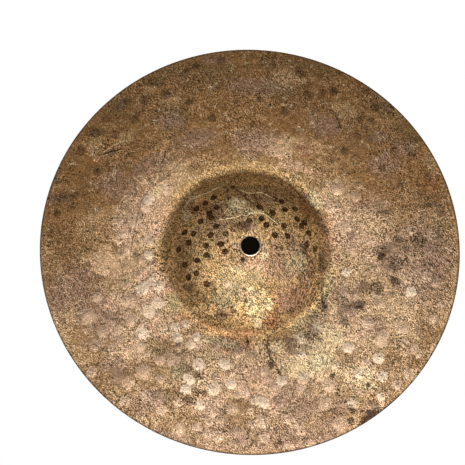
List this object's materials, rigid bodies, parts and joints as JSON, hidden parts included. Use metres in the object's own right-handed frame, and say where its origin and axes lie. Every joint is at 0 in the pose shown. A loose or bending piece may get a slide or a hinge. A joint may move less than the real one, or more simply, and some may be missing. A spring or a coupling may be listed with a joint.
{
  "type": "splash cymbal",
  "caption": "Small round hand-hammered bronze cymbal with a raised bell, a shallow bow and a central bore that seats it on a stand's sleeve and felts.",
  "frame": {"origin": "on the bore's axis, in the plane of the rim that the cymbal rests on", "axes": "+Z along the bore's axis, out of the top of the bell; X and Y are free, because the shape is turned about Z"},
  "size_m": [0.254, 0.254, 0.033],
  "materials": {
    "bronze": "unlathed, hand-hammered bronze with a dry brown and golden patina, darker stains and round hammer marks"
  },
  "bodies": {
    "root": {"cymbal": "bronze"}
  },
  "joints": []
}
